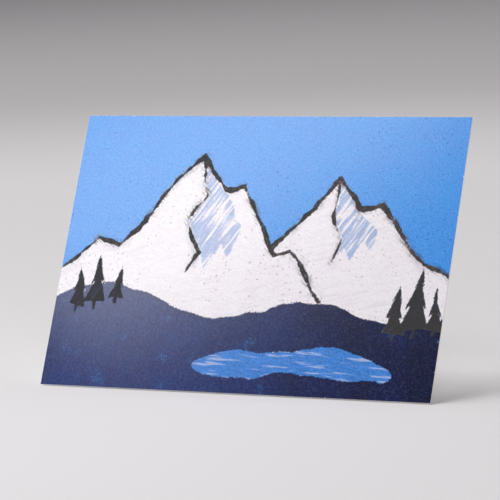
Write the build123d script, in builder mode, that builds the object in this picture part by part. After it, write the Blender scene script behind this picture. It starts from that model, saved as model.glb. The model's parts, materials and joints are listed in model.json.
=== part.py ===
from build123d import *
import os

# A picture postcard, held upright by its lower edge and leaning back, in millimetres.
# The card is one bonded sheet: its plies and its printed inks lie face to face and nothing on it moves.
# The origin is the middle of the lower edge. The picture faces -Y and the long side lies along X.

# The sheet, from the back to the front
card_width = 148.0
card_height = 100.0
liner_thickness = 0.04
core_thickness = 0.22
coating_thickness = 0.02
picture_ink_thickness = 0.02
lean_angle = 26.6

# The ruled lines at the back, whose ink soaks into the liner
writing_ink_depth = 0.02
divider_width = 0.5
divider_margin = 9.0
divider_offset = 2.0
address_line_count = 4
address_line_width = 0.35
address_line_spacing = 9.5
address_line_length = 56.0
address_margin = 8.0
address_foot = 14.0
stamp_width = 20.0
stamp_height = 24.0
stamp_margin = 7.0
stamp_line_width = 0.4

# The pen of the picture
outline_width = 1.5
crease_width = 1.0

# A pine of the picture: its width for its height, how far its tiers are notched, and its trunk
pine_tiers = 3
pine_slimness = 0.42
pine_notch = 0.45
pine_trunk_share = 0.14
pine_trunk_width = 1.1

sheet_thickness = liner_thickness + core_thickness + coating_thickness + picture_ink_thickness
card_plane = Plane.XZ.rotated((-lean_angle, 0, 0))
liner_plane = card_plane.offset(-sheet_thickness / 2)
core_plane = liner_plane.offset(liner_thickness)
coating_plane = core_plane.offset(core_thickness)
picture_plane = coating_plane.offset(coating_thickness)
# The back as its reader sees it: X to the reader's right, Y up the card
back_plane = Plane(origin=liner_plane.origin, x_dir=-liner_plane.x_dir, z_dir=-liner_plane.z_dir)


def on_card(*places):
    """Turn shares of the card's width and height, from its lower left corner, into points on its face."""
    return [((across - 1 / 2) * card_width, up * card_height) for across, up in places]


def ground_below(line):
    """Close a ridge or a crest downwards, along the card's lower edge."""
    start = line @ 0
    end = line @ 1
    return Polyline(end, (end.X, 0), (start.X, 0), start)


def pine_outline(across, foot, top):
    """Closed outline of one pine, placed by shares: tiers that widen downwards, over a short trunk."""
    (middle, ground), (middle, tip) = on_card((across, foot), (across, top))
    height = tip - ground
    skirt = ground + pine_trunk_share * height
    tier_height = (tip - skirt) / pine_tiers
    right_side = []
    for tier in range(1, pine_tiers + 1):
        reach = pine_slimness * height * tier / (2 * pine_tiers)
        level = tip - tier * tier_height
        right_side.append((reach, level))
        if tier < pine_tiers:
            right_side.append((pine_notch * reach, level + pine_notch * tier_height / 2))
    right_side += [(pine_trunk_width / 2, skirt), (pine_trunk_width / 2, ground)]
    left_side = [(-out, level) for out, level in reversed(right_side)]
    return [(middle + out, level) for out, level in [(0, tip)] + right_side + left_side]


# The picture's lines. A share below 0 or above 1 lies past the edge, where the sheet is trimmed.
with BuildLine() as near_ridge:
    Polyline(*on_card(
        (-0.02, 0.40), (0.09, 0.55), (0.15, 0.52), (0.33, 0.86), (0.40, 0.72),
        (0.45, 0.74), (0.56, 0.50), (0.60, 0.51), (0.74, 0.22),
    ))

with BuildLine() as near_crease:
    Polyline(*on_card((0.33, 0.86), (0.355, 0.70), (0.32, 0.62), (0.36, 0.50), (0.335, 0.42)))

with BuildLine() as far_ridge:
    Polyline(*on_card(
        (0.50, 0.44), (0.62, 0.64), (0.70, 0.77), (0.76, 0.66), (0.81, 0.68), (0.93, 0.47), (1.02, 0.42),
    ))

with BuildLine() as far_crease:
    Polyline(*on_card((0.70, 0.77), (0.69, 0.64), (0.72, 0.56), (0.70, 0.47)))

with BuildLine() as hill_crest:
    Spline(*on_card((-0.02, 0.30), (0.16, 0.37), (0.42, 0.27), (0.68, 0.33), (0.86, 0.27), (1.02, 0.31)))

# The sheet and the picture's shapes, flat, before they are cut to fit one another
with BuildSketch() as sheet:
    Rectangle(card_width, card_height, align=(Align.CENTER, Align.MIN))

with BuildSketch() as near_mountain:
    with BuildLine():
        add(near_ridge.line)
        ground_below(near_ridge.line)
    make_face()

with BuildSketch() as far_mountain:
    with BuildLine():
        add(far_ridge.line)
        ground_below(far_ridge.line)
    make_face()

with BuildSketch() as shade:
    with BuildLine():
        add(near_crease.line)
        jagged_foot = on_card(
            (0.365, 0.49), (0.385, 0.43), (0.41, 0.54), (0.435, 0.49), (0.455, 0.60), (0.40, 0.72),
        )
        Polyline(near_crease.line @ 1, *jagged_foot, near_crease.line @ 0)
    make_face()
    with BuildLine():
        add(far_crease.line)
        jagged_foot = on_card(
            (0.73, 0.53), (0.75, 0.475), (0.775, 0.57), (0.80, 0.525), (0.81, 0.60), (0.76, 0.66),
        )
        Polyline(far_crease.line @ 1, *jagged_foot, far_crease.line @ 0)
    make_face()

with BuildSketch() as hills:
    with BuildLine():
        add(hill_crest.line)
        ground_below(hill_crest.line)
    make_face()

with BuildSketch() as lake:
    with BuildLine():
        Spline(
            *on_card(
                (0.40, 0.10), (0.50, 0.15), (0.60, 0.145), (0.72, 0.175), (0.84, 0.13),
                (0.90, 0.085), (0.76, 0.06), (0.62, 0.075), (0.50, 0.05),
            ),
            periodic=True,
        )
    make_face()

with BuildSketch() as pines:
    feet_and_tops = (
        (0.055, 0.27, 0.43), (0.105, 0.28, 0.49), (0.165, 0.30, 0.44),
        (0.885, 0.21, 0.40), (0.93, 0.22, 0.46), (0.975, 0.23, 0.39),
    )
    for across, foot, top in feet_and_tops:
        with BuildLine():
            Polyline(*pine_outline(across, foot, top), close=True)
        make_face()
    add(sheet.sketch, mode=Mode.INTERSECT)

with BuildSketch() as pen_lines:
    trace(far_ridge.line, line_width=outline_width)
    trace(far_crease.line, line_width=crease_width)
    add(near_mountain.sketch, mode=Mode.SUBTRACT)
    trace(near_ridge.line, line_width=outline_width)
    trace(near_crease.line, line_width=crease_width)
    add(sheet.sketch, mode=Mode.INTERSECT)
    add([hills.sketch, pines.sketch], mode=Mode.SUBTRACT)

# The ruled shapes of the back
with BuildSketch() as divider:
    with Locations((-divider_offset, card_height / 2)):
        Rectangle(divider_width, card_height - 2 * divider_margin)

with BuildSketch() as address:
    line_middle = card_width / 2 - address_margin - address_line_length / 2
    for line in range(address_line_count):
        with Locations((line_middle, address_foot + line * address_line_spacing)):
            Rectangle(address_line_length, address_line_width)

with BuildSketch() as stamp:
    stamp_corner = (card_width / 2 - stamp_margin, card_height - stamp_margin)
    with Locations((stamp_corner[0] - stamp_width / 2, stamp_corner[1] - stamp_height / 2)):
        Rectangle(stamp_width, stamp_height)
        Rectangle(stamp_width - 2 * stamp_line_width, stamp_height - 2 * stamp_line_width, mode=Mode.SUBTRACT)

os.makedirs("parts", exist_ok=True)

# The plies of the board
with BuildPart() as card_core:
    with BuildSketch(core_plane):
        add(sheet.sketch)
    extrude(amount=core_thickness)
card_core.part.label = "card_core"
export_step(card_core.part, "parts/card_core.step")

with BuildPart() as front_coating:
    with BuildSketch(coating_plane):
        add(sheet.sketch)
    extrude(amount=coating_thickness)
front_coating.part.label = "front_coating"
export_step(front_coating.part, "parts/front_coating.step")

with BuildPart() as back_liner:
    with BuildSketch(back_plane):
        add(sheet.sketch)
    extrude(amount=-liner_thickness)
    with BuildSketch(back_plane):
        add([divider.sketch, address.sketch, stamp.sketch])
    extrude(amount=-writing_ink_depth, mode=Mode.SUBTRACT)
back_liner.part.label = "back_liner"
export_step(back_liner.part, "parts/back_liner.step")

# The inks of the picture, side by side on the coating
with BuildPart() as sky_print:
    with BuildSketch(picture_plane):
        add(sheet.sketch)
        add([near_mountain.sketch, far_mountain.sketch, hills.sketch], mode=Mode.SUBTRACT)
        add([pen_lines.sketch, pines.sketch], mode=Mode.SUBTRACT)
    extrude(amount=picture_ink_thickness)
sky_print.part.label = "sky_print"
export_step(sky_print.part, "parts/sky_print.step")

with BuildPart() as snow_print:
    with BuildSketch(picture_plane):
        add([near_mountain.sketch, far_mountain.sketch])
        add(sheet.sketch, mode=Mode.INTERSECT)
        add([shade.sketch, hills.sketch, pen_lines.sketch, pines.sketch], mode=Mode.SUBTRACT)
    extrude(amount=picture_ink_thickness)
snow_print.part.label = "snow_print"
export_step(snow_print.part, "parts/snow_print.step")

with BuildPart() as shade_print:
    with BuildSketch(picture_plane):
        add(shade.sketch)
        add([hills.sketch, pen_lines.sketch, pines.sketch], mode=Mode.SUBTRACT)
    extrude(amount=picture_ink_thickness)
shade_print.part.label = "shade_print"
export_step(shade_print.part, "parts/shade_print.step")

with BuildPart() as hills_print:
    with BuildSketch(picture_plane):
        add(hills.sketch)
        add(sheet.sketch, mode=Mode.INTERSECT)
        add([lake.sketch, pines.sketch], mode=Mode.SUBTRACT)
    extrude(amount=picture_ink_thickness)
hills_print.part.label = "hills_print"
export_step(hills_print.part, "parts/hills_print.step")

with BuildPart() as lake_print:
    with BuildSketch(picture_plane):
        add(lake.sketch)
        add(pines.sketch, mode=Mode.SUBTRACT)
    extrude(amount=picture_ink_thickness)
lake_print.part.label = "lake_print"
export_step(lake_print.part, "parts/lake_print.step")

with BuildPart() as pines_print:
    with BuildSketch(picture_plane):
        add(pines.sketch)
    extrude(amount=picture_ink_thickness)
pines_print.part.label = "pines_print"
export_step(pines_print.part, "parts/pines_print.step")

with BuildPart() as outline_print:
    with BuildSketch(picture_plane):
        add(pen_lines.sketch)
    extrude(amount=picture_ink_thickness)
outline_print.part.label = "outline_print"
export_step(outline_print.part, "parts/outline_print.step")

# The inks of the ruled lines, flush in the liner
with BuildPart() as divider_line:
    with BuildSketch(back_plane):
        add(divider.sketch)
    extrude(amount=-writing_ink_depth)
divider_line.part.label = "divider_line"
export_step(divider_line.part, "parts/divider_line.step")

with BuildPart() as address_lines:
    with BuildSketch(back_plane):
        add(address.sketch)
    extrude(amount=-writing_ink_depth)
address_lines.part.label = "address_lines"
export_step(address_lines.part, "parts/address_lines.step")

with BuildPart() as stamp_frame:
    with BuildSketch(back_plane):
        add(stamp.sketch)
    extrude(amount=-writing_ink_depth)
stamp_frame.part.label = "stamp_frame"
export_step(stamp_frame.part, "parts/stamp_frame.step")
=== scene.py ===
import json
import math

import bpy
import numpy as np
from mathutils import Matrix, Vector


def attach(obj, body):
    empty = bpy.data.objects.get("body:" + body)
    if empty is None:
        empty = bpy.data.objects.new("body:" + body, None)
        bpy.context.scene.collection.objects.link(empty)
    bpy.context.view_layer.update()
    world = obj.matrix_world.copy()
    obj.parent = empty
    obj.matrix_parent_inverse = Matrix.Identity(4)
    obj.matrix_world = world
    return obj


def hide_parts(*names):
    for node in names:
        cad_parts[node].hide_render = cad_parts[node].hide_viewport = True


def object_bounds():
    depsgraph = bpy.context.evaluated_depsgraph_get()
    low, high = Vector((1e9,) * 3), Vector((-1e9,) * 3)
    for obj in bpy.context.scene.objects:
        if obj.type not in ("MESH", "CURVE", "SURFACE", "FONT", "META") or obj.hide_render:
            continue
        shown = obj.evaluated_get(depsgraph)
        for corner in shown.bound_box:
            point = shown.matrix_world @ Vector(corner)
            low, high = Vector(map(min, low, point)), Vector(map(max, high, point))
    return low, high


bl_info = {
    "name": "Picture Postcard",
    "version": (1, 0, 0),
    "blender": (4, 5, 0),
    "location": "View3D > Sidebar > Postcard",
    "description": "Finishes a picture postcard: its pastel print, its cut board and its ruled back",
    "category": "Object",
}

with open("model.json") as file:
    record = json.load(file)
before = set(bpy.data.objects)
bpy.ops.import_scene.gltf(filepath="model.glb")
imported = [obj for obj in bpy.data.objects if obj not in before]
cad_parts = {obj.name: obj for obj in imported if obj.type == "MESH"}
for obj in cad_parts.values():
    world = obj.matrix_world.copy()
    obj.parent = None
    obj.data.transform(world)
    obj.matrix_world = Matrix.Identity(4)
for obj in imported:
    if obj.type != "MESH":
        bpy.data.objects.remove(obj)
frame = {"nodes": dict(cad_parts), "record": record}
CAD_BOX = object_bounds()

MILLIMETRE = 0.001
# Places nearer to one another than this are the same place
SAME_PLACE = 0.001 * MILLIMETRE
# Printed areas nearer to one another than this meet at a seam
SEAM = 0.02 * MILLIMETRE

# The card's own directions, from the faces that the record states
MOUNTS = {mount["name"]: mount for mount in frame["record"]["mounts"]}
CARD_UP = -Vector(MOUNTS["bottom_edge"]["axis"])
CARD_FRONT = -Vector(MOUNTS["back_face"]["axis"])
CARD_ACROSS = CARD_UP.cross(CARD_FRONT)
CARD_AXES = Matrix((CARD_ACROSS, CARD_UP, CARD_FRONT))

PICTURE_NODES = (
    "sky_print", "snow_print", "shade_print", "hills_print", "lake_print", "pines_print", "outline_print",
)
RULED_NODES = ("divider_line", "address_lines", "stamp_frame")


def triangles_of(node):
    """Triangles of a CAD node in the card's directions: across, up and out of the front."""
    mesh = frame["nodes"][node].data
    mesh.calc_loop_triangles()
    places = np.empty(len(mesh.vertices) * 3)
    mesh.vertices.foreach_get("co", places)
    corners = np.empty(len(mesh.loop_triangles) * 3, np.int32)
    mesh.loop_triangles.foreach_get("vertices", corners)
    return (places.reshape(-1, 3) @ np.array(CARD_AXES).T)[corners.reshape(-1, 3)]


def span_of(node):
    """Lowest and highest reach of a CAD node in the card's directions."""
    places = triangles_of(node).reshape(-1, 3)
    return places.min(axis=0), places.max(axis=0)


CARD_LOW, CARD_HIGH = span_of("card_core")
CARD_MIDDLE = CARD_AXES.transposed() @ Vector((CARD_LOW + CARD_HIGH) / 2)


class PostcardPicture(bpy.types.PropertyGroup):
    """Colours, gloss and wear of the pastel picture"""

    pitch: bpy.props.FloatProperty(
        name="Mesh Pitch", description="Spacing of the points that carry the picture's areas",
        default=0.0005, min=0.0004, unit="LENGTH",
    )
    sky: bpy.props.FloatVectorProperty(
        name="Sky", description="Light blue of the sky", subtype="COLOR", default=(0.043, 0.320, 0.86),
    )
    snow: bpy.props.FloatVectorProperty(
        name="Snow", description="White of the mountains", subtype="COLOR", default=(0.940, 0.910, 0.955),
    )
    shade: bpy.props.FloatVectorProperty(
        name="Shade", description="Pale blue of the mountains' shaded sides", subtype="COLOR",
        default=(0.42, 0.53, 0.78),
    )
    navy: bpy.props.FloatVectorProperty(
        name="Navy", description="Dark blue of the hills", subtype="COLOR", default=(0.010, 0.036, 0.180),
    )
    lake: bpy.props.FloatVectorProperty(
        name="Lake", description="Blue of the lake", subtype="COLOR", default=(0.060, 0.25, 0.71),
    )
    charcoal: bpy.props.FloatVectorProperty(
        name="Charcoal", description="Colour of the outlines and pines", subtype="COLOR",
        default=(0.007, 0.0065, 0.008),
    )
    rust: bpy.props.FloatVectorProperty(
        name="Rust", description="Brown that shows through the charcoal in places", subtype="COLOR",
        default=(0.080, 0.040, 0.040),
    )
    satin: bpy.props.FloatProperty(
        name="Satin", description="Roughness of the print's satin coating", subtype="FACTOR",
        default=0.22, min=0.0, max=1.0,
    )
    wear: bpy.props.FloatProperty(
        name="Wear", description="How far in the rim is rubbed white where it is worn most",
        default=0.0005, min=0.0, unit="LENGTH",
    )


class PostcardBoard(bpy.types.PropertyGroup):
    """Colours and cut of the board and its writing side"""

    edge_pitch: bpy.props.FloatProperty(
        name="Edge Pitch", description="Spacing of the points along the cut edge",
        default=0.0006, min=0.0002, unit="LENGTH",
    )
    fray: bpy.props.FloatProperty(
        name="Fray", description="How far the cut fibres stand back from the edge",
        default=0.00003, min=0.0, unit="LENGTH",
    )
    core: bpy.props.FloatVectorProperty(
        name="Core", description="Off-white of the cut board", subtype="COLOR", default=(0.80, 0.78, 0.73),
    )
    paper: bpy.props.FloatVectorProperty(
        name="Paper", description="White of the writing side", subtype="COLOR",
        default=(0.90, 0.895, 0.875),
    )
    ruling: bpy.props.FloatVectorProperty(
        name="Ruling", description="Grey ink of the ruled lines", subtype="COLOR",
        default=(0.13, 0.14, 0.17),
    )


class PostcardStage(bpy.types.PropertyGroup):
    """Floor, light and camera"""

    azimuth: bpy.props.FloatProperty(
        name="Azimuth", description="Camera's turn to the card's right", subtype="ANGLE",
        default=math.radians(26.83),
    )
    elevation: bpy.props.FloatProperty(
        name="Elevation", description="Camera's height over the horizon", subtype="ANGLE",
        default=math.radians(8.215),
    )
    roll: bpy.props.FloatProperty(
        name="Roll", description="Camera's turn about its own line of sight", subtype="ANGLE",
        default=math.radians(-2.641),
    )
    distance: bpy.props.FloatProperty(
        name="Distance", description="From the camera to the card", unit="LENGTH", default=1.03734,
    )
    aim: bpy.props.FloatVectorProperty(
        name="Aim", description="Where the camera looks, across and up from the card's middle", size=2,
        subtype="XYZ_LENGTH", default=(-0.00121, 0.00113),
    )
    sensor: bpy.props.FloatProperty(
        name="Sensor", description="Width of the camera's sensor in millimetres", unit="CAMERA",
        default=36.0,
    )
    lens: bpy.props.FloatProperty(
        name="Lens", description="Focal length in millimetres", default=217.5, unit="CAMERA",
    )
    gap: bpy.props.FloatProperty(
        name="Gap", description="How far the card is held over the floor", unit="LENGTH", default=0.0003,
    )
    floor: bpy.props.FloatVectorProperty(
        name="Floor", description="Pale grey of the studio floor", subtype="COLOR",
        default=(0.68, 0.66, 0.668),
    )
    air: bpy.props.FloatVectorProperty(
        name="Air", description="Soft light from all round", subtype="COLOR", default=(0.285, 0.285, 0.295),
    )
    front_air: bpy.props.FloatVectorProperty(
        name="Front Air", description="Soft light from the front of the studio", subtype="COLOR",
        default=(0.05, 0.05, 0.052),
    )
    sheen_power: bpy.props.FloatProperty(
        name="Sheen Lamp", description="Lamp whose reflection lies on the satin", unit="POWER",
        default=0.51,
    )
    sheen_turn: bpy.props.FloatProperty(
        name="Sheen Turn", description="Slant of the sheen lamp's long side over the card", subtype="ANGLE",
        default=0.604,
    )
    top_power: bpy.props.FloatProperty(
        name="Top Softbox", description="Lamp over the card", unit="POWER", default=42.0,
    )
    back_power: bpy.props.FloatProperty(
        name="Back Softbox", description="Lamp for the writing side alone", unit="POWER", default=10.0,
    )
    front_power: bpy.props.FloatProperty(
        name="Front Softbox", description="Lamp for the picture", unit="POWER", default=3.1,
    )


def feed(tree, socket, value):
    """Link an input to a socket, or set it to a plain value."""
    if isinstance(value, bpy.types.NodeSocket):
        tree.links.new(value, socket)
    else:
        socket.default_value = value


def add_node(tree, kind, inputs=None, **settings):
    """Add a node, set its properties, and set or link its inputs."""
    node = tree.nodes.new(kind)
    for name, value in settings.items():
        setattr(node, name, value)
    for name, value in (inputs or {}).items():
        feed(tree, node.inputs[name], value)
    return node


def figure(tree, operation, *values):
    """Math node on sockets or numbers."""
    return add_node(tree, "ShaderNodeMath", dict(enumerate(values)), operation=operation).outputs[0]


def product(tree, value, *others):
    """All the values multiplied."""
    for other in others:
        value = figure(tree, "MULTIPLY", value, other)
    return value


def total(tree, value, *others):
    """All the values added up."""
    for other in others:
        value = figure(tree, "ADD", value, other)
    return value


def vectors(tree, operation, *values):
    """Vector math node on sockets or vectors."""
    return add_node(tree, "ShaderNodeVectorMath", dict(enumerate(values)), operation=operation).outputs[0]


def noise(tree, point, scale, detail=2.0, roughness=0.5, seed=0.0):
    """Noise from 0 to 1; its scale is in waves for each unit of the points, a millimetre on the card."""
    inputs = {"Vector": point, "W": seed, "Scale": scale, "Detail": detail, "Roughness": roughness}
    return add_node(tree, "ShaderNodeTexNoise", inputs, noise_dimensions="4D").outputs[0]


def swing(tree, value, reach):
    """Turn noise, which seldom leaves 0.25 to 0.75, into a swing of about that reach either way."""
    middle, gain = 0.5, 4.0
    return product(tree, figure(tree, "SUBTRACT", value, middle), gain, reach)


def ease(tree, value, low, high):
    """Smooth step from 0 at low to 1 at high."""
    inputs = {"Value": value, "From Min": low, "From Max": high}
    return add_node(tree, "ShaderNodeMapRange", inputs, interpolation_type="SMOOTHSTEP").outputs[0]


def blend(tree, factor, below, above):
    """Mix of two colours."""
    node = add_node(tree, "ShaderNodeMix", {"Factor": factor}, data_type="RGBA")
    colour_sockets = [socket for socket in node.inputs if socket.type == "RGBA"]
    for socket, value in zip(colour_sockets, (below, above)):
        feed(tree, socket, value)
    return next(socket for socket in node.outputs if socket.type == "RGBA")


def drawn_out(tree, point, turn, squeeze):
    """Points turned and then squeezed along, so that noise over them comes out as strokes."""
    inputs = {"Vector": point, "Angle": turn}
    lain = add_node(tree, "ShaderNodeVectorRotate", inputs, rotation_type="Z_AXIS").outputs[0]
    return vectors(tree, "MULTIPLY", lain, (squeeze, 1.0, 1.0))


def opaque(colour):
    """Colour with full opacity, as a colour socket takes it; a socket passes as it is."""
    return colour if isinstance(colour, bpy.types.NodeSocket) else (*colour, 1.0)


def toned(colour, *shares):
    """Colour with its red, green and blue multiplied by a share each, or by one share."""
    if len(shares) == 1:
        shares *= 3
    return tuple(part * share for part, share in zip(colour, shares))


FLOAT, VECTOR, COLOUR = "NodeSocketFloat", "NodeSocketVector", "NodeSocketColor"


def new_group(name, inputs, outputs):
    """Shader node group with named sockets; gives its tree, its inputs and its outputs."""
    tree = bpy.data.node_groups.new(name, "ShaderNodeTree")
    for label, kind in inputs.items():
        tree.interface.new_socket(label, in_out="INPUT", socket_type=kind)
    for label, kind in outputs.items():
        tree.interface.new_socket(label, in_out="OUTPUT", socket_type=kind)
    return tree, tree.nodes.new("NodeGroupInput").outputs, tree.nodes.new("NodeGroupOutput").inputs


def make_pastel_edge():
    """Where a pastel area covers the sheet: a hand's wobble, a tooth of paper and a soft rim."""
    amounts = dict.fromkeys(("Distance", "Wobble", "Raggedness", "Softness", "Seed"), FLOAT)
    tree, given, made = new_group("Pastel Edge", {"Point": VECTOR, **amounts}, {"Mask": FLOAT})
    point, seed = given["Point"], given["Seed"]
    hand = swing(tree, noise(tree, point, scale=0.22, seed=seed), given["Wobble"])
    paper = noise(tree, point, scale=1.5, detail=3.0, roughness=0.7, seed=seed)
    tooth = swing(tree, paper, given["Raggedness"])
    reach = total(tree, given["Distance"], hand, tooth)
    below = product(tree, given["Softness"], -1.0)
    tree.links.new(ease(tree, reach, low=below, high=given["Softness"]), made["Mask"])


def make_pastel_fill():
    """Colour of a pastel area: a drift of hue, strokes along one direction, grain and clustered specks."""
    colours = dict.fromkeys(("Colour", "Drift Colour", "Mark Colour"), COLOUR)
    amounts = dict.fromkeys(("Turn", "Strokes", "Grain", "Drift", "Marks", "Seed"), FLOAT)
    tree, given, made = new_group(
        "Pastel Fill", {"Point": VECTOR, **colours, **amounts}, {"Colour": COLOUR})
    point, seed = given["Point"], given["Seed"]
    darkest = (0.003, 0.003, 0.003)

    clouds = noise(tree, point, scale=0.11, detail=3.0, roughness=0.6, seed=seed)
    drift = product(tree, ease(tree, clouds, low=0.30, high=0.70), given["Drift"])
    hue = blend(tree, drift, given["Colour"], given["Drift Colour"])

    drawn = drawn_out(tree, point, turn=given["Turn"], squeeze=0.30)
    chalk = noise(tree, drawn, scale=1.25, detail=3.0, roughness=0.6, seed=seed)
    strokes = swing(tree, chalk, given["Strokes"])
    stroked = vectors(tree, "MULTIPLY", hue, total(tree, strokes, 1.0))
    grain = swing(tree, noise(tree, point, scale=1.40, roughness=0.8, seed=seed), given["Grain"])
    tinted = vectors(tree, "MAXIMUM", vectors(tree, "ADD", stroked, grain), darkest)

    specks = ease(tree, noise(tree, point, scale=1.00, detail=1.0, seed=seed), low=0.62, high=0.68)
    clusters = ease(tree, noise(tree, point, scale=0.10, seed=seed), low=0.42, high=0.58)
    marks = product(tree, specks, clusters, given["Marks"])
    tree.links.new(blend(tree, marks, tinted, given["Mark Colour"]), made["Colour"])


def make_paper_fibre():
    """Felted fibres of paper: a height for relief and a mask of darker flecks."""
    tree, given, made = new_group(
        "Paper Fibre", {"Point": VECTOR, "Seed": FLOAT}, {"Height": FLOAT, "Flecks": FLOAT})
    seed = given["Seed"]
    along = vectors(tree, "MULTIPLY", given["Point"], (0.35, 1.0, 1.0))
    felt = noise(tree, along, scale=3.2, detail=4.0, roughness=0.6, seed=seed)
    tree.links.new(felt, made["Height"])
    tangle = noise(tree, along, scale=1.1, detail=3.0, roughness=0.6, seed=seed)
    tree.links.new(ease(tree, tangle, low=0.60, high=0.80), made["Flecks"])


def make_rim_wear():
    """Where handling has rubbed a face white along the card's rim, by its distance from the rim."""
    tree, given, made = new_group(
        "Rim Wear", {"Rim": FLOAT, "Point": VECTOR, "Reach": FLOAT}, {"Mask": FLOAT})
    point = given["Point"]
    worn = ease(tree, noise(tree, point, scale=0.35, roughness=0.6, seed=3.0), low=0.58, high=0.70)
    chips = ease(tree, noise(tree, point, scale=1.4, roughness=0.6, seed=5.0), low=0.45, high=0.65)
    everywhere = 0.06
    share = total(tree, product(tree, worn, chips), everywhere)
    depth = figure(tree, "SUBTRACT", product(tree, share, given["Reach"]), given["Rim"])
    tree.links.new(ease(tree, depth, low=-0.05, high=0.05), made["Mask"])


GROUP_MAKERS = {
    "Pastel Edge": make_pastel_edge,
    "Pastel Fill": make_pastel_fill,
    "Paper Fibre": make_paper_fibre,
    "Rim Wear": make_rim_wear,
}


def use_group(tree, name, inputs):
    """Place a node group in a material, make the group at its first use, and give its outputs."""
    if name not in bpy.data.node_groups:
        GROUP_MAKERS[name]()
    return add_node(tree, "ShaderNodeGroup", inputs, node_tree=bpy.data.node_groups[name]).outputs


def new_material(name):
    """Material with an empty Principled surface; gives the material, its tree and the surface's inputs."""
    material = bpy.data.materials.new(name)
    material.use_nodes = True
    tree = material.node_tree
    tree.nodes.clear()
    surface = tree.nodes.new("ShaderNodeBsdfPrincipled")
    output = tree.nodes.new("ShaderNodeOutputMaterial")
    tree.links.new(surface.outputs["BSDF"], output.inputs["Surface"])
    return material, tree, surface.inputs


def add_relief(tree, surface, height, strength, depth):
    """Bump a surface by the height of its fibres."""
    relief = add_node(tree, "ShaderNodeBump", {"Height": height, "Strength": strength, "Distance": depth})
    tree.links.new(relief.outputs["Normal"], surface["Normal"])


def carried(tree, name):
    """How far inside one of the picture's areas a point lies, in millimetres, as the mesh carries it."""
    return add_node(tree, "ShaderNodeAttribute", attribute_name=name).outputs["Fac"]


def covered(tree, point, inside, wobble, raggedness, softness, seed):
    """Mask of a pastel area with a hand-drawn edge; the reaches are in millimetres."""
    return use_group(tree, "Pastel Edge", {
        "Point": point, "Distance": inside, "Wobble": wobble, "Raggedness": raggedness,
        "Softness": softness, "Seed": seed,
    })["Mask"]


def filled(tree, point, colour, drift_colour, mark_colour, turn, strokes, grain, drift, marks, seed):
    """Colour of a pastel area; its strokes lie at a turn in degrees."""
    return use_group(tree, "Pastel Fill", {
        "Point": point, "Colour": opaque(colour), "Drift Colour": opaque(drift_colour),
        "Mark Colour": opaque(mark_colour), "Turn": math.radians(turn), "Strokes": strokes,
        "Grain": grain, "Drift": drift, "Marks": marks, "Seed": seed,
    })["Colour"]


def patches(tree, point, scale, low, high, seed):
    """Mask of soft patches."""
    return ease(tree, noise(tree, point, scale=scale, seed=seed), low=low, high=high)


def streaks(tree, point, turn, scale, low, high, seed, detail=2.0, roughness=0.5):
    """Mask of long strokes at a turn in degrees."""
    lain = drawn_out(tree, point, turn=math.radians(turn), squeeze=0.10)
    return ease(tree, noise(tree, lain, scale, detail, roughness, seed), low=low, high=high)


def thinned(tree, mask, share):
    """Mask that takes away no more than a share."""
    return total(tree, product(tree, mask, share), 1.0 - share)


def rim_gap(tree, point):
    """How far a point of the print lies from the card's nearest side, in millimetres."""
    middle = (CARD_LOW + CARD_HIGH) / 2 / MILLIMETRE
    half = (CARD_HIGH - CARD_LOW) / 2 / MILLIMETRE
    place = add_node(tree, "ShaderNodeSeparateXYZ", {"Vector": point}).outputs
    gaps = []
    for axis in (0, 1):
        off = figure(tree, "ABSOLUTE", figure(tree, "SUBTRACT", place[axis], middle[axis]))
        gaps.append(figure(tree, "SUBTRACT", half[axis], off))
    return figure(tree, "MINIMUM", *gaps)


def lay_snow(tree, point, colours):
    """White of the mountains, with specks of dust and, in places, faint strokes."""
    white = filled(
        tree, point, colours.snow, toned(colours.snow, 1.0, 0.95, 0.975),
        toned(colours.snow, 0.34, 0.29, 0.33),
        turn=12, strokes=0.06, grain=0.03, drift=0.8, marks=0.65, seed=1.0,
    )
    strokes = streaks(
        tree, point, turn=-14, scale=0.80, low=0.50, high=0.64, seed=21.0, detail=3.0, roughness=0.6)
    places = patches(tree, point, scale=0.05, low=0.42, high=0.60, seed=22.0)
    strength = 0.6
    grey = opaque(toned(colours.snow, 0.90, 0.85, 0.89))
    return blend(tree, product(tree, strokes, places, strength), white, grey)


def smudge_snow(tree, point, colours, picture, outline):
    """Grey that has rubbed off the outlines into the white beside them."""
    near = ease(tree, outline, low=-3.0, high=0.0)
    places = patches(tree, point, scale=0.14, low=0.46, high=0.66, seed=12.0)
    strength = 0.35
    grey = opaque(toned(colours.snow, 0.45, 0.43, 0.50))
    return blend(tree, product(tree, near, places, strength), picture, grey)


def hatch_shade(tree, point, colours, picture):
    """Pale blue hatching on the mountains' shaded sides."""
    area = covered(
        tree, point, carried(tree, "shade"), wobble=0.6, raggedness=0.5, softness=0.25, seed=2.0)
    hatch = streaks(tree, point, turn=-58, scale=0.75, low=0.38, high=0.54, seed=8.0)
    blue = filled(
        tree, point, colours.shade, toned(colours.shade, 0.9, 0.85, 0.95), colours.snow,
        turn=-58, strokes=0.15, grain=0.08, drift=0.6, marks=0.5, seed=2.0,
    )
    return blend(tree, product(tree, area, hatch), picture, blue)


def fill_sky(tree, point, colours, picture):
    """Light blue of the sky, a little of it under the outlines; gives the picture and where the sky is."""
    overlap = 0.45
    inside = total(tree, carried(tree, "sky"), overlap)
    area = covered(tree, point, inside, wobble=0.3, raggedness=0.3, softness=0.12, seed=3.0)
    blue = filled(
        tree, point, colours.sky, toned(colours.sky, 1.35, 0.93, 0.97),
        toned(colours.sky, 0.05, 0.45, 0.76),
        turn=66, strokes=0.02, grain=0.048, drift=0.8, marks=0.9, seed=3.0,
    )
    return blend(tree, area, picture, blue), area


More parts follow.
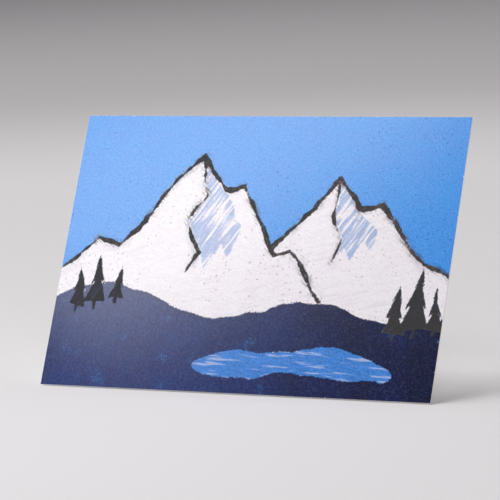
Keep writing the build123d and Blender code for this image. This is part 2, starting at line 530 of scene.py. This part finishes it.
def fill_hills(tree, point, colours, picture):
    """Navy of the hills, with painted shade that darkens it towards the card's right where the sheen falls
    away, a dark crest and dabs of light blue.
    """
    across = add_node(tree, "ShaderNodeSeparateXYZ", {"Vector": point}).outputs["X"]
    unevenness = swing(tree, noise(tree, point, scale=0.06, seed=18.0), reach=0.25)
    # Painted shade: the navy is mixed darker from the card's left to its right, with a little noise in
    # where it turns
    darkening = total(tree, ease(tree, across, low=-45.0, high=76.0), unevenness)

    def painted_shade_rightward(left, right):
        return blend(tree, darkening, opaque(toned(colours.navy, *left)), opaque(toned(colours.navy, *right)))

    # The navy's own, drift and speck colours all get the painted shade towards the right
    navy = filled(
        tree, point, painted_shade_rightward((1.0, 1.0, 1.0), (0.17, 0.22, 0.28)),
        painted_shade_rightward((1.5, 0.62, 0.80), (0.26, 0.15, 0.24)), painted_shade_rightward((1.2, 2.0, 1.7), (0.35, 0.50, 0.60)),
        turn=82, strokes=0.15, grain=0.034, drift=0.7, marks=0.45, seed=4.0,
    )
    land = carried(tree, "land")
    crest = ease(tree, land, low=1.6, high=0.2)
    crest_places = patches(tree, point, scale=0.20, low=0.40, high=0.60, seed=19.0)
    crest_strength = 0.6
    navy = blend(
        tree, product(tree, crest, crest_places, crest_strength), navy,
        opaque(toned(colours.navy, 1.1, 0.45, 0.40)),
    )
    dab_places = patches(tree, point, scale=0.13, low=0.60, high=0.70, seed=14.0)
    dabs = patches(tree, point, scale=1.6, low=0.50, high=0.60, seed=15.0)
    dab_strength = 0.50
    navy = blend(tree, product(tree, dab_places, dabs, dab_strength), navy, opaque(toned(colours.sky, 0.8)))
    area = covered(tree, point, land, wobble=0.3, raggedness=0.45, softness=0.18, seed=4.0)
    return blend(tree, area, picture, navy)


def fill_lake(tree, point, colours, picture):
    """Blue of the lake, with pale glints along it."""
    blue = filled(
        tree, point, colours.lake, toned(colours.lake, 0.8, 0.9, 0.97), toned(colours.lake, 0.5, 0.6, 0.7),
        turn=3, strokes=0.25, grain=0.06, drift=0.8, marks=0.6, seed=5.0,
    )
    glints = streaks(tree, point, turn=3, scale=0.9, low=0.56, high=0.66, seed=16.0)
    strength = 0.45
    water = blend(tree, product(tree, glints, strength), blue, opaque(toned(colours.snow, 0.8, 0.88, 1.0)))
    area = covered(
        tree, point, carried(tree, "lake"), wobble=0.5, raggedness=0.45, softness=0.15, seed=5.0)
    return blend(tree, area, picture, water)


def draw_charcoal(tree, point, colours, picture, outline):
    """Dust, pines and outlines in charcoal, brown in places; gives the picture and where it is charcoal."""
    charcoal = filled(
        tree, point, colours.charcoal, toned(colours.charcoal, 2.0), toned(colours.charcoal, 5.0),
        turn=40, strokes=0.4, grain=0.008, drift=0.7, marks=0.6, seed=6.0,
    )
    rust = filled(
        tree, point, colours.rust, colours.charcoal, colours.charcoal,
        turn=40, strokes=0.4, grain=0.02, drift=0.8, marks=0.8, seed=7.0,
    )
    near = ease(tree, outline, low=-1.6, high=0.3)
    dusty = patches(tree, point, scale=0.16, low=0.42, high=0.60, seed=17.0)
    chalk = streaks(tree, point, turn=38, scale=1.3, low=0.40, high=0.62, seed=20.0, roughness=0.6)
    dust_strength, dust_brown = 0.75, 0.5
    dust_colour = blend(tree, dust_brown, charcoal, rust)
    picture = blend(tree, product(tree, near, dusty, chalk, dust_strength), picture, dust_colour)

    needles = streaks(tree, point, turn=-64, scale=1.0, low=0.34, high=0.48, seed=23.0, roughness=0.6)
    pines = covered(
        tree, point, carried(tree, "pines"), wobble=0.3, raggedness=0.45, softness=0.12, seed=6.0)
    pines = product(tree, pines, thinned(tree, needles, share=0.30))
    picture = blend(tree, pines, picture, charcoal)

    tooth = patches(tree, point, scale=1.5, low=0.34, high=0.46, seed=9.0)
    lines = covered(tree, point, outline, wobble=0.70, raggedness=0.28, softness=0.20, seed=7.0)
    lines = product(tree, lines, thinned(tree, tooth, share=0.12))
    brown_places = patches(tree, point, scale=0.10, low=0.44, high=0.58, seed=6.0)
    brown = streaks(tree, point, turn=38, scale=1.5, low=0.42, high=0.56, seed=26.0, roughness=0.6)
    picture = blend(tree, lines, picture, blend(tree, product(tree, brown_places, brown), charcoal, rust))
    return picture, figure(tree, "MAXIMUM", lines, pines)


def grain_print(tree, point, picture, sky):
    """Fine grain over the whole print, as strong to the eye in dark areas, and stronger in the sky."""
    everywhere, more_in_sky = 0.12, 0.05
    darkest = (0.002, 0.002, 0.002)
    lightest = (0.97, 0.97, 0.97)
    root = add_node(tree, "ShaderNodeGamma", {"Color": picture, "Gamma": 0.5}).outputs[0]
    strength = total(tree, product(tree, sky, more_in_sky), everywhere)
    speckle = swing(tree, noise(tree, point, scale=1.8, roughness=0.7, seed=25.0), reach=strength)
    grained = vectors(tree, "MULTIPLY_ADD", root, speckle, picture)
    return vectors(tree, "MINIMUM", vectors(tree, "MAXIMUM", grained, darkest), lightest)


def satin_gloss(tree, point, satin, fibre, charcoal):
    """Roughness of the print: a slightly uneven satin, duller where it is charcoal."""
    dulling = 0.34
    ripple = swing(tree, noise(tree, point, scale=2.6, detail=1.0, seed=27.0), reach=0.03)
    uneven = total(tree, swing(tree, fibre, reach=0.02), ripple, satin)
    return total(tree, uneven, product(tree, charcoal, dulling))


def pastel_print(colours):
    """The printed pastel picture: its areas laid over one another from the back to the front."""
    material, tree, surface = new_material("pastel_print")
    point = add_node(tree, "ShaderNodeAttribute", attribute_name="place").outputs["Vector"]
    outline = carried(tree, "outline")
    picture = lay_snow(tree, point, colours)
    picture = smudge_snow(tree, point, colours, picture, outline)
    picture = hatch_shade(tree, point, colours, picture)
    picture, sky = fill_sky(tree, point, colours, picture)
    picture = fill_hills(tree, point, colours, picture)
    picture = fill_lake(tree, point, colours, picture)
    picture, charcoal = draw_charcoal(tree, point, colours, picture, outline)
    picture = grain_print(tree, point, picture, sky)
    wear = {"Rim": rim_gap(tree, point), "Point": point, "Reach": colours.wear / MILLIMETRE}
    worn = use_group(tree, "Rim Wear", wear)["Mask"]
    picture = blend(tree, worn, picture, opaque(toned(colours.snow, 0.96)))
    tree.links.new(picture, surface["Base Color"])

    fibre = use_group(tree, "Paper Fibre", {"Point": point, "Seed": 2.0})["Height"]
    tree.links.new(satin_gloss(tree, point, colours.satin, fibre, charcoal), surface["Roughness"])
    add_relief(tree, surface, fibre, strength=0.12, depth=0.02 * MILLIMETRE)
    return material


def board_point(tree):
    """Points of the card in millimetres, for a piece that sits at the origin."""
    place = tree.nodes.new("ShaderNodeTexCoord").outputs["Object"]
    return vectors(tree, "MULTIPLY", place, (1 / MILLIMETRE,) * 3)


def cut_board(colours):
    """Cut edge of the board: felted off-white plies."""
    material, tree, surface = new_material("cut_board")
    fibre = use_group(tree, "Paper Fibre", {"Point": board_point(tree), "Seed": 1.0})
    darkening = opaque(toned(colours.core, 0.72))
    tree.links.new(blend(tree, fibre["Flecks"], opaque(colours.core), darkening), surface["Base Color"])
    surface["Roughness"].default_value = 0.85
    add_relief(tree, surface, fibre["Height"], strength=0.5, depth=0.03 * MILLIMETRE)
    return material


def writing_paper(colours):
    """Uncoated writing side: matt white paper with faint flecks and clouds."""
    material, tree, surface = new_material("writing_paper")
    point = board_point(tree)
    fibre = use_group(tree, "Paper Fibre", {"Point": point, "Seed": 4.0})
    clouds = ease(
        tree, noise(tree, point, scale=0.05, detail=3.0, roughness=0.6, seed=2.0), low=0.35, high=0.7)
    warm = opaque(toned(colours.paper, 0.985, 0.970, 0.945))
    fleck = opaque(toned(colours.paper, 0.84))
    fleck_strength = 0.8
    aged = blend(tree, clouds, opaque(colours.paper), warm)
    flecks = product(tree, fibre["Flecks"], fleck_strength)
    tree.links.new(blend(tree, flecks, aged, fleck), surface["Base Color"])
    surface["Roughness"].default_value = 0.8
    add_relief(tree, surface, fibre["Height"], strength=0.3, depth=0.03 * MILLIMETRE)
    return material


def ruled_ink(colours):
    """Grey ink of the ruled lines, thin where the paper took less of it."""
    material, tree, surface = new_material("ruled_ink")
    point = board_point(tree)
    fibre = use_group(tree, "Paper Fibre", {"Point": point, "Seed": 4.0})
    thin = ease(
        tree, noise(tree, point, scale=2.2, detail=3.0, roughness=0.7, seed=6.0), low=0.48, high=0.80)
    thinning = 0.6
    missed = product(tree, thin, thinning)
    ink = blend(tree, missed, opaque(colours.ruling), opaque(colours.paper))
    tree.links.new(ink, surface["Base Color"])
    surface["Roughness"].default_value = 0.75
    add_relief(tree, surface, fibre["Height"], strength=0.3, depth=0.03 * MILLIMETRE)
    return material


def studio_floor(colour):
    """Pale matt floor with the faintest unevenness, and painted shade that greys it away from the card,
    leaving a painted pool of light round the card.
    """
    material, tree, surface = new_material("studio_floor")
    place = tree.nodes.new("ShaderNodeTexCoord").outputs["Object"]
    uneven = ease(tree, noise(tree, place, scale=3.0, detail=3.0, seed=1.0), low=0.3, high=0.7)
    reach = add_node(tree, "ShaderNodeVectorMath", {0: place}, operation="LENGTH").outputs["Value"]
    near = blend(tree, uneven, opaque(colour), opaque(toned(colour, 0.985)))
    # Painted shade: the floor's colour dims away from the card, as a painted pool of light round it
    far = opaque(toned(colour, 0.72))
    tree.links.new(blend(tree, ease(tree, reach, low=0.60, high=1.20), near, far), surface["Base Color"])
    surface["Roughness"].default_value = 1.0
    surface["Specular IOR Level"].default_value = 0.0
    return material


def printed_outline(node):
    """Straight pieces of a printed area's outline on the card, and whether each lies on the rim."""
    triangles = triangles_of(node)
    level = triangles[:, :, 2].max()
    face = triangles[(np.abs(triangles[:, :, 2] - level) < SAME_PLACE).all(axis=1)][:, :, :2]
    sides = np.concatenate([face[:, (0, 1)], face[:, (1, 2)], face[:, (2, 0)]])
    steps = np.round(sides / SAME_PLACE).astype(np.int64)
    keys = [tuple(sorted((tuple(start), tuple(end)))) for start, end in steps]
    uses = {}
    for key in keys:
        uses[key] = uses.get(key, 0) + 1
    # A side that only one triangle has lies on the outline
    outline = np.array([side for side, key in zip(sides, keys) if uses[key] == 1])
    rim = np.zeros(len(outline), bool)
    for axis in (0, 1):
        for edge in (CARD_LOW[axis], CARD_HIGH[axis]):
            rim |= (np.abs(outline[:, :, axis] - edge) < SAME_PLACE).all(axis=1)
    return outline, rim


def nearest_gap(points, outline):
    """Distance from each point to the nearest of an outline's straight pieces."""
    nearest = np.full(len(points), np.inf)
    for start, end in outline:
        along = end - start
        share = np.clip((points - start) @ along / (along @ along), 0, 1)
        nearest = np.minimum(nearest, np.hypot(*(points - start - share[:, None] * along).T))
    return nearest


def enclosed(points, outline):
    """Whether each point lies inside a closed outline, by the sides that pass to its right."""
    inside = np.zeros(len(points), bool)
    for start, end in outline:
        along = end - start
        if along[1]:
            spanned = (points[:, 1] < start[1]) != (points[:, 1] < end[1])
            crossing = start[0] + (points[:, 1] - start[1]) * along[0] / along[1]
            inside ^= spanned & (points[:, 0] < crossing)
    return inside


def depth_inside(points, *nodes):
    """How far each point lies inside the joined printed areas, in millimetres, and negative outside them.

    Sides on the card's rim and seams between two of the areas don't count.
    """
    outlines = {node: printed_outline(node) for node in nodes}
    inside = np.zeros(len(points), bool)
    shores = []
    for node, (outline, rim) in outlines.items():
        inside |= enclosed(points, outline)
        seam = rim.copy()
        for other, (neighbour, _) in outlines.items():
            if other != node:
                seam |= nearest_gap(outline.mean(axis=1), neighbour) < SEAM
        shores.append(outline[~seam])
    nearest = nearest_gap(points, np.concatenate(shores))
    return np.where(inside, nearest, -nearest) / MILLIMETRE


# Waves of an unsteady hand: their length and reach in metres, and the direction that they run in
HAND_WAVES = ((0.031, 0.00055, 0.4), (0.017, 0.00030, 1.9), (0.0085, 0.00016, 2.7))
# Turn from the waves that move points across to those that move them up
HAND_TURN = math.radians(70)


def hand_drawn(points):
    """Points moved a little, as an unsteady hand would, so that straight lines waver."""
    moved = points.copy()
    for length, reach, turn in HAND_WAVES:
        for axis in (0, 1):
            lie = turn + axis * HAND_TURN
            # Each wave starts at a place of its own
            phase = 5 * turn + axis
            along = points[:, 0] * math.cos(lie) + points[:, 1] * math.sin(lie)
            moved[:, axis] += reach * np.sin(math.tau * along / length + phase)
    # Points stay just inside the sides, so that each of them lies in one of the areas
    return np.clip(moved, CARD_LOW[:2] + SEAM, CARD_HIGH[:2] - SEAM)


def to_part(across, up, out):
    """Points in the part's own frame from arrays in the card's directions."""
    return np.stack([across, up, out], axis=1) @ np.array(CARD_AXES)


def picture_mesh(pitch):
    """Thin film over the whole front: a fine grid, a rim and a closed back.

    Gives the mesh, and its points across and up the card.
    """
    low, high = span_of("sky_print")
    columns = round((CARD_HIGH[0] - CARD_LOW[0]) / pitch)
    rows = round((CARD_HIGH[1] - CARD_LOW[1]) / pitch)
    across, up = np.meshgrid(
        np.linspace(CARD_LOW[0], CARD_HIGH[0], columns + 1),
        np.linspace(CARD_LOW[1], CARD_HIGH[1], rows + 1),
    )
    points = np.stack([across.ravel(), up.ravel()], axis=1)
    index = np.arange(len(points)).reshape(rows + 1, columns + 1)
    loop = np.concatenate([index[0, :-1], index[:-1, -1], index[-1, :0:-1], index[:0:-1, 0]])
    back = np.arange(len(loop)) + len(points)
    quads = np.stack([index[:-1, :-1], index[:-1, 1:], index[1:, 1:], index[1:, :-1]], axis=-1)
    rim = np.stack([np.roll(loop, -1), loop, back, np.roll(back, -1)], axis=-1)
    places = np.concatenate([points, points[loop]])
    out = np.where(np.arange(len(places)) < len(points), high[2], low[2])
    mesh = bpy.data.meshes.new("picture_print")
    mesh.from_pydata(
        to_part(places[:, 0], places[:, 1], out).tolist(), [],
        quads.reshape(-1, 4).tolist() + rim.tolist() + [back[::-1].tolist()],
    )
    return mesh, places


def carry(mesh, name, values):
    """Store a number for each point of a mesh."""
    attribute = mesh.attributes.new(name, "FLOAT", "POINT")
    attribute.data.foreach_set("value", values.astype(np.float32))


def carry_places(mesh, places):
    """Store each point's place across and up the card, in millimetres."""
    attribute = mesh.attributes.new("place", "FLOAT_VECTOR", "POINT")
    flat = np.concatenate([places / MILLIMETRE, np.zeros((len(places), 1))], axis=1)
    attribute.data.foreach_set("vector", flat.astype(np.float32).ravel())


def shown(name, mesh, material):
    """New piece with one material, riding on the card."""
    piece = bpy.data.objects.new(name, mesh)
    bpy.context.scene.collection.objects.link(piece)
    mesh.materials.append(material)
    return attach(piece, "root")


class POSTCARD_OT_print_picture(bpy.types.Operator):
    """Print the pastel picture over the front of the card"""

    bl_idname = "postcard.print_picture"
    bl_label = "Print Picture"

    def execute(self, context):
        picture = context.scene.postcard_picture
        mesh, places = picture_mesh(picture.pitch)
        drawn = hand_drawn(places)
        for area in ("sky", "shade", "lake", "pines", "outline"):
            carry(mesh, area, depth_inside(drawn, f"{area}_print"))
        # The navy runs on under the lake and the pines
        carry(mesh, "land", depth_inside(drawn, "hills_print", "lake_print", "pines_print"))
        carry_places(mesh, places)
        piece = shown("picture_print", mesh, pastel_print(picture))
        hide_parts(*PICTURE_NODES)
        return {"FINISHED"}


def board_outline(low, high, pitch):
    """Points round the board's sides, across and up the card."""
    columns = round((high[0] - low[0]) / pitch)
    rows = round((high[1] - low[1]) / pitch)
    x = np.linspace(low[0], high[0], columns + 1)
    y = np.linspace(low[1], high[1], rows + 1)
    across = np.concatenate([x[:-1], np.full(rows, high[0]), x[:0:-1], np.full(rows, low[0])])
    up = np.concatenate([np.full(columns, low[1]), y[:-1], np.full(columns, high[1]), y[:0:-1]])
    return across, up


def board_mesh(pitch, fray):
    """Core and coating as one slab whose cut sides are slightly frayed, ply by ply."""
    levels = 6
    outer_fray = 0.3
    low = span_of("card_core")[0]
    high = span_of("front_coating")[1]
    across, up = board_outline(low, high, pitch)
    outward_across = (across >= high[0]) * 1.0 - (across <= low[0])
    outward_up = (up >= high[1]) * 1.0 - (up <= low[1])
    count = len(across)
    hand = np.random.default_rng(seed=7)
    rings = []
    for level, out in enumerate(np.linspace(low[2], high[2], levels)):
        rough = hand.random(count)
        back = fray * (rough + np.roll(rough, 1) + np.roll(rough, -1)) / 3
        if level in (0, levels - 1):
            back *= outer_fray
        rings.append(to_part(across - back * outward_across, up - back * outward_up, np.full(count, out)))
    ring = np.arange(count)
    faces = []
    for level in range(levels - 1):
        lower = ring + level * count
        after = np.roll(lower, -1)
        faces += np.stack([lower, after, after + count, lower + count], axis=-1).tolist()
    faces.append(ring[::-1].tolist())
    faces.append((ring + (levels - 1) * count).tolist())
    mesh = bpy.data.meshes.new("card_board")
    mesh.from_pydata(np.concatenate(rings).tolist(), [], faces)
    return mesh


class POSTCARD_OT_cut_board(bpy.types.Operator):
    """Cut the board that carries the picture"""

    bl_idname = "postcard.cut_board"
    bl_label = "Cut Board"

    def execute(self, context):
        board = context.scene.postcard_board
        piece = shown("card_board", board_mesh(board.edge_pitch, board.fray), cut_board(board))
        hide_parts("card_core", "front_coating")
        return {"FINISHED"}


class POSTCARD_OT_rule_back(bpy.types.Operator):
    """Give the writing side its paper and its ruled lines their ink"""

    bl_idname = "postcard.rule_back"
    bl_label = "Rule Back"

    def execute(self, context):
        board = context.scene.postcard_board
        finishes = {"back_liner": writing_paper(board), **dict.fromkeys(RULED_NODES, ruled_ink(board))}
        for node, finish in finishes.items():
            materials = frame["nodes"][node].data.materials
            materials.clear()
            materials.append(finish)
        return {"FINISHED"}


def off_card(across, up, out=0.0):
    """Point given from the card's middle: across it, up it and out of its front."""
    return CARD_MIDDLE + CARD_ACROSS * across + CARD_UP * up + CARD_FRONT * out


def aim_at(thing, place, target, side):
    """Put a lamp or a camera at a place, facing a target, with its right side nearest to a direction."""
    back = (place - target).normalized()
    right = (side - back * side.dot(back)).normalized()
    turn = Matrix((right, back.cross(right), back)).transposed()
    thing.matrix_world = Matrix.Translation(place) @ turn.to_4x4()


def softbox(name, place, length, width, power, target=CARD_MIDDLE, side=CARD_ACROSS):
    """Oblong area lamp that faces a target, with its long side along a direction."""
    lamp = bpy.data.lights.new(name, "AREA")
    lamp.shape = "RECTANGLE"
    lamp.size = length
    lamp.size_y = width
    lamp.energy = power
    holder = bpy.data.objects.new(name, lamp)
    holder.visible_camera = False
    bpy.context.scene.collection.objects.link(holder)
    aim_at(holder, place, target, side)
    return holder


def reach_only(lamp, nodes):
    """Let a lamp light these CAD nodes and nothing else."""
    reached = bpy.data.collections.new(f"{lamp.name}_reach")
    for node in nodes:
        reached.objects.link(frame["nodes"][node])
    lamp.light_linking.receiver_collection = reached


def floor_mesh(radius, rise, level):
    """Round floor that sweeps up into a wall all round, far from the card."""
    turns, steps = 96, 12
    profile = [(radius / 2, 0.0)]
    for step in range(steps + 1):
        angle = math.radians(90) * step / steps
        profile.append((radius + rise * math.sin(angle), rise * (1 - math.cos(angle))))
    profile.append((radius + rise, 2 * rise))
    points = [(0.0, 0.0, level)]
    for reach, height in profile:
        for turn in range(turns):
            angle = math.tau * turn / turns
            points.append((reach * math.cos(angle), reach * math.sin(angle), level + height))
    faces = [(0, 1 + turn, 1 + (turn + 1) % turns) for turn in range(turns)]
    for ring in range(len(profile) - 1):
        start = 1 + ring * turns
        for turn in range(turns):
            after = (turn + 1) % turns
            faces.append((start + turn, start + turns + turn, start + turns + after, start + after))
    mesh = bpy.data.meshes.new("studio_floor")
    mesh.from_pydata(points, [], faces)
    for polygon in mesh.polygons:
        polygon.use_smooth = True
    return mesh


def studio_air(air, front_air):
    """World of soft light from all round, dimmer from the front of the studio."""
    world = bpy.data.worlds.new("studio_air")
    world.use_nodes = True
    tree = world.node_tree
    direction = tree.nodes.new("ShaderNodeTexCoord").outputs["Generated"]
    depth = add_node(tree, "ShaderNodeSeparateXYZ", {"Vector": direction}).outputs["Y"]
    light = blend(tree, ease(tree, depth, low=-0.80, high=-0.30), opaque(front_air), opaque(air))
    tree.links.new(light, tree.nodes["Background"].inputs["Color"])
    return world


def lay_floor(stage):
    """Put the studio floor under the card."""
    mesh = floor_mesh(radius=3.0, rise=1.0, level=CAD_BOX[0].z - stage.gap)
    mesh.materials.append(studio_floor(stage.floor))
    floor = bpy.data.objects.new("studio_floor", mesh)
    bpy.context.scene.collection.objects.link(floor)


def light_card(stage):
    """Hang the lamps and fill the studio with soft light."""
    softbox(
        "sheen_lamp", place=off_card(across=-0.207, up=0.170, out=0.352), length=0.24, width=0.115,
        power=stage.sheen_power, target=off_card(across=-0.016, up=0.043),
        side=CARD_ACROSS * math.cos(stage.sheen_turn) + CARD_UP * math.sin(stage.sheen_turn),
    )
    softbox(
        "top_softbox", place=Vector((-0.80, 0.40, 2.20)), length=1.60, width=1.60, power=stage.top_power)
    back_lamp = softbox(
        "back_softbox", place=Vector((-0.50, 1.30, 0.40)), length=1.0, width=1.0, power=stage.back_power)
    reach_only(back_lamp, ("back_liner", *RULED_NODES))
    softbox(
        "front_softbox", place=Vector((0.50, -1.00, 0.55)), length=0.50, width=0.50,
        power=stage.front_power,
    )
    bpy.context.scene.world = studio_air(stage.air, stage.front_air)
    bpy.context.scene.view_settings.view_transform = "Standard"


def place_camera(stage):
    """Put the camera where the stage's angles say, looking at the card."""
    camera = bpy.data.cameras.new("camera")
    camera.sensor_width = stage.sensor
    camera.lens = stage.lens
    camera.clip_start = stage.distance / 100
    camera.clip_end = stage.distance * 20
    holder = bpy.data.objects.new("camera", camera)
    bpy.context.scene.collection.objects.link(holder)
    target = off_card(*stage.aim)
    level = math.cos(stage.elevation)
    back = Vector((
        math.sin(stage.azimuth) * level, -math.cos(stage.azimuth) * level, math.sin(stage.elevation)))
    right = Vector((math.cos(stage.azimuth), math.sin(stage.azimuth), 0.0))
    aim_at(holder, target + back * stage.distance, target, Matrix.Rotation(stage.roll, 3, back) @ right)
    bpy.context.scene.camera = holder


class POSTCARD_OT_set_stage(bpy.types.Operator):
    """Lay the floor, light the card and place the camera"""

    bl_idname = "postcard.set_stage"
    bl_label = "Set Stage"

    def execute(self, context):
        stage = context.scene.postcard_stage
        lay_floor(stage)
        light_card(stage)
        place_camera(stage)
        return {"FINISHED"}


class POSTCARD_PT_panel(bpy.types.Panel):
    """Steps that finish the postcard, and their settings"""

    bl_label = "Postcard"
    bl_idname = "POSTCARD_PT_panel"
    bl_space_type = "VIEW_3D"
    bl_region_type = "UI"
    bl_category = "Postcard"

    def draw(self, context):
        for step, settings in STEPS:
            box = self.layout.box()
            box.operator(step.bl_idname)
            group = getattr(context.scene, settings)
            for name in group.__annotations__:
                box.prop(group, name)


STEPS = (
    (POSTCARD_OT_print_picture, "postcard_picture"),
    (POSTCARD_OT_cut_board, "postcard_board"),
    (POSTCARD_OT_rule_back, "postcard_board"),
    (POSTCARD_OT_set_stage, "postcard_stage"),
)
SETTINGS = {
    "postcard_picture": PostcardPicture,
    "postcard_board": PostcardBoard,
    "postcard_stage": PostcardStage,
}


def register():
    for name, group in SETTINGS.items():
        bpy.utils.register_class(group)
        setattr(bpy.types.Scene, name, bpy.props.PointerProperty(type=group))
    for step, _ in STEPS:
        bpy.utils.register_class(step)
    bpy.utils.register_class(POSTCARD_PT_panel)


def unregister():
    bpy.utils.unregister_class(POSTCARD_PT_panel)
    for step, _ in reversed(STEPS):
        bpy.utils.unregister_class(step)
    for name, group in reversed(SETTINGS.items()):
        delattr(bpy.types.Scene, name)
        bpy.utils.unregister_class(group)


def main():
    register()
    bpy.ops.postcard.print_picture()
    bpy.ops.postcard.cut_board()
    bpy.ops.postcard.rule_back()
    bpy.ops.postcard.set_stage()


if __name__ == "__main__":
    main()
